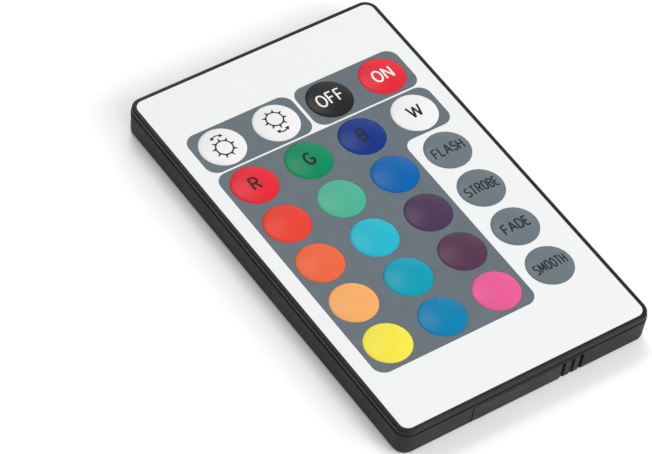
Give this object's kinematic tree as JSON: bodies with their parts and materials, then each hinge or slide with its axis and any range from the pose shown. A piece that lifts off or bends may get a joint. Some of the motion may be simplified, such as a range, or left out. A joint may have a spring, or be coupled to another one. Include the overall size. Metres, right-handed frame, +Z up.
{
  "type": "rgb led remote control",
  "caption": "Slim hand-held remote control for coloured lighting, with round domed colour keys on a white face and a slide-out coin cell tray at its near end.",
  "frame": {"origin": "middle of the underside, where the remote lies on a table", "axes": "+Z up out of the key face, +Y along the casing to its far end, away from the battery tray, +X to the right seen from above"},
  "size_m": [0.0518, 0.0844, 0.0068],
  "materials": {
    "lower_case": "fine matt moulding",
    "upper_frame": "satin moulding",
    "overlay_tape": "adhesive tape",
    "face_overlay": "satin printed film",
    "grey_fields": "printed ink",
    "circuit_board": "solder mask",
    "snap_domes": "sprung sheet",
    "dome_spacer_film": "polyester film",
    "controller_chip": "moulded chip",
    "clock_crystal": "metal can",
    "radio_resonator": "metal lid",
    "rf_transistor": "moulded chip",
    "tank_capacitor": "moulded capacitor",
    "chip_capacitors": "ceramic chips",
    "chip_resistors": "film chips",
    "loop_antenna": "copper strip",
    "cell_rim_contact": "sprung strip",
    "cell_cap_contact": "sprung strip",
    "battery_tray": "fine matt moulding",
    "cell_can": "polished can",
    "cell_gasket": "seal",
    "cell_cap": "polished cap",
    "tray_latch": "fine matt moulding",
    "key_brighter": "glossy printed dome",
    "key_dimmer": "glossy printed dome",
    "key_off": "glossy printed dome",
    "key_on": "glossy printed dome",
    "key_red": "glossy printed dome",
    "key_green": "glossy printed dome",
    "key_blue": "glossy printed dome",
    "key_white": "glossy printed dome",
    "key_light_red": "glossy printed dome",
    "key_sea_green": "glossy printed dome",
    "key_mid_blue": "glossy printed dome",
    "key_flash": "glossy printed dome",
    "key_orange": "glossy printed dome",
    "key_cyan": "glossy printed dome",
    "key_purple": "glossy printed dome",
    "key_strobe": "glossy printed dome",
    "key_apricot": "glossy printed dome",
    "key_teal": "glossy printed dome",
    "key_plum": "glossy printed dome",
    "key_fade": "glossy printed dome",
    "key_yellow": "glossy printed dome",
    "key_sky_blue": "glossy printed dome",
    "key_pink": "glossy printed dome",
    "key_smooth": "glossy printed dome"
  },
  "bodies": {
    "casing": {"lower_case": "lower_case", "upper_frame": "upper_frame", "overlay_tape": "overlay_tape", "face_overlay": "face_overlay", "grey_fields": "grey_fields", "circuit_board": "circuit_board", "snap_domes": "snap_domes", "dome_spacer_film": "dome_spacer_film", "controller_chip": "controller_chip", "clock_crystal": "clock_crystal", "radio_resonator": "radio_resonator", "rf_transistor": "rf_transistor", "tank_capacitor": "tank_capacitor", "chip_capacitors": "chip_capacitors", "chip_resistors": "chip_resistors", "loop_antenna": "loop_antenna", "cell_rim_contact": "cell_rim_contact", "cell_cap_contact": "cell_cap_contact"},
    "tray": {"battery_tray": "battery_tray", "cell_can": "cell_can", "cell_gasket": "cell_gasket", "cell_cap": "cell_cap"},
    "latch": {"tray_latch": "tray_latch"},
    "key_brighter": {"key_brighter": "key_brighter"},
    "key_dimmer": {"key_dimmer": "key_dimmer"},
    "key_off": {"key_off": "key_off"},
    "key_on": {"key_on": "key_on"},
    "key_red": {"key_red": "key_red"},
    "key_green": {"key_green": "key_green"},
    "key_blue": {"key_blue": "key_blue"},
    "key_white": {"key_white": "key_white"},
    "key_light_red": {"key_light_red": "key_light_red"},
    "key_sea_green": {"key_sea_green": "key_sea_green"},
    "key_mid_blue": {"key_mid_blue": "key_mid_blue"},
    "key_flash": {"key_flash": "key_flash"},
    "key_orange": {"key_orange": "key_orange"},
    "key_cyan": {"key_cyan": "key_cyan"},
    "key_purple": {"key_purple": "key_purple"},
    "key_strobe": {"key_strobe": "key_strobe"},
    "key_apricot": {"key_apricot": "key_apricot"},
    "key_teal": {"key_teal": "key_teal"},
    "key_plum": {"key_plum": "key_plum"},
    "key_fade": {"key_fade": "key_fade"},
    "key_yellow": {"key_yellow": "key_yellow"},
    "key_sky_blue": {"key_sky_blue": "key_sky_blue"},
    "key_pink": {"key_pink": "key_pink"},
    "key_smooth": {"key_smooth": "key_smooth"}
  },
  "joints": [
    {"name": "tray_slide", "type": "slide", "parent": "casing", "child": "tray", "axis": [0, -1, 0], "range_m": [0, 0.026]},
    {"name": "latch_flex", "type": "hinge", "parent": "tray", "child": "latch", "pos_m": [0.01035, -0.03326, 0.00215], "axis": [0, 0, 1], "range_deg": [-4, 3], "stiffness_Nm_per_rad": 0.25, "springref_deg": 3},
    {"name": "key_brighter_press", "type": "slide", "parent": "casing", "child": "key_brighter", "axis": [0, 0, -1], "range_m": [0, 0.00025], "stiffness_N_per_m": 4000, "deforming": ["snap_domes"]},
    {"name": "key_dimmer_press", "type": "slide", "parent": "casing", "child": "key_dimmer", "axis": [0, 0, -1], "range_m": [0, 0.00025], "stiffness_N_per_m": 4000, "deforming": ["snap_domes"]},
    {"name": "key_off_press", "type": "slide", "parent": "casing", "child": "key_off", "axis": [0, 0, -1], "range_m": [0, 0.00025], "stiffness_N_per_m": 4000, "deforming": ["snap_domes"]},
    {"name": "key_on_press", "type": "slide", "parent": "casing", "child": "key_on", "axis": [0, 0, -1], "range_m": [0, 0.00025], "stiffness_N_per_m": 4000, "deforming": ["snap_domes"]},
    {"name": "key_red_press", "type": "slide", "parent": "casing", "child": "key_red", "axis": [0, 0, -1], "range_m": [0, 0.00025], "stiffness_N_per_m": 4000, "deforming": ["snap_domes"]},
    {"name": "key_green_press", "type": "slide", "parent": "casing", "child": "key_green", "axis": [0, 0, -1], "range_m": [0, 0.00025], "stiffness_N_per_m": 4000, "deforming": ["snap_domes"]},
    {"name": "key_blue_press", "type": "slide", "parent": "casing", "child": "key_blue", "axis": [0, 0, -1], "range_m": [0, 0.00025], "stiffness_N_per_m": 4000, "deforming": ["snap_domes"]},
    {"name": "key_white_press", "type": "slide", "parent": "casing", "child": "key_white", "axis": [0, 0, -1], "range_m": [0, 0.00025], "stiffness_N_per_m": 4000, "deforming": ["snap_domes"]},
    {"name": "key_light_red_press", "type": "slide", "parent": "casing", "child": "key_light_red", "axis": [0, 0, -1], "range_m": [0, 0.00025], "stiffness_N_per_m": 4000, "deforming": ["snap_domes"]},
    {"name": "key_sea_green_press", "type": "slide", "parent": "casing", "child": "key_sea_green", "axis": [0, 0, -1], "range_m": [0, 0.00025], "stiffness_N_per_m": 4000, "deforming": ["snap_domes"]},
    {"name": "key_mid_blue_press", "type": "slide", "parent": "casing", "child": "key_mid_blue", "axis": [0, 0, -1], "range_m": [0, 0.00025], "stiffness_N_per_m": 4000, "deforming": ["snap_domes"]},
    {"name": "key_flash_press", "type": "slide", "parent": "casing", "child": "key_flash", "axis": [0, 0, -1], "range_m": [0, 0.00025], "stiffness_N_per_m": 4000, "deforming": ["snap_domes"]},
    {"name": "key_orange_press", "type": "slide", "parent": "casing", "child": "key_orange", "axis": [0, 0, -1], "range_m": [0, 0.00025], "stiffness_N_per_m": 4000, "deforming": ["snap_domes"]},
    {"name": "key_cyan_press", "type": "slide", "parent": "casing", "child": "key_cyan", "axis": [0, 0, -1], "range_m": [0, 0.00025], "stiffness_N_per_m": 4000, "deforming": ["snap_domes"]},
    {"name": "key_purple_press", "type": "slide", "parent": "casing", "child": "key_purple", "axis": [0, 0, -1], "range_m": [0, 0.00025], "stiffness_N_per_m": 4000, "deforming": ["snap_domes"]},
    {"name": "key_strobe_press", "type": "slide", "parent": "casing", "child": "key_strobe", "axis": [0, 0, -1], "range_m": [0, 0.00025], "stiffness_N_per_m": 4000, "deforming": ["snap_domes"]},
    {"name": "key_apricot_press", "type": "slide", "parent": "casing", "child": "key_apricot", "axis": [0, 0, -1], "range_m": [0, 0.00025], "stiffness_N_per_m": 4000, "deforming": ["snap_domes"]},
    {"name": "key_teal_press", "type": "slide", "parent": "casing", "child": "key_teal", "axis": [0, 0, -1], "range_m": [0, 0.00025], "stiffness_N_per_m": 4000, "deforming": ["snap_domes"]},
    {"name": "key_plum_press", "type": "slide", "parent": "casing", "child": "key_plum", "axis": [0, 0, -1], "range_m": [0, 0.00025], "stiffness_N_per_m": 4000, "deforming": ["snap_domes"]},
    {"name": "key_fade_press", "type": "slide", "parent": "casing", "child": "key_fade", "axis": [0, 0, -1], "range_m": [0, 0.00025], "stiffness_N_per_m": 4000, "deforming": ["snap_domes"]},
    {"name": "key_yellow_press", "type": "slide", "parent": "casing", "child": "key_yellow", "axis": [0, 0, -1], "range_m": [0, 0.00025], "stiffness_N_per_m": 4000, "deforming": ["snap_domes"]},
    {"name": "key_sky_blue_press", "type": "slide", "parent": "casing", "child": "key_sky_blue", "axis": [0, 0, -1], "range_m": [0, 0.00025], "stiffness_N_per_m": 4000, "deforming": ["snap_domes"]},
    {"name": "key_pink_press", "type": "slide", "parent": "casing", "child": "key_pink", "axis": [0, 0, -1], "range_m": [0, 0.00025], "stiffness_N_per_m": 4000, "deforming": ["snap_domes"]},
    {"name": "key_smooth_press", "type": "slide", "parent": "casing", "child": "key_smooth", "axis": [0, 0, -1], "range_m": [0, 0.00025], "stiffness_N_per_m": 4000, "deforming": ["snap_domes"]}
  ]
}
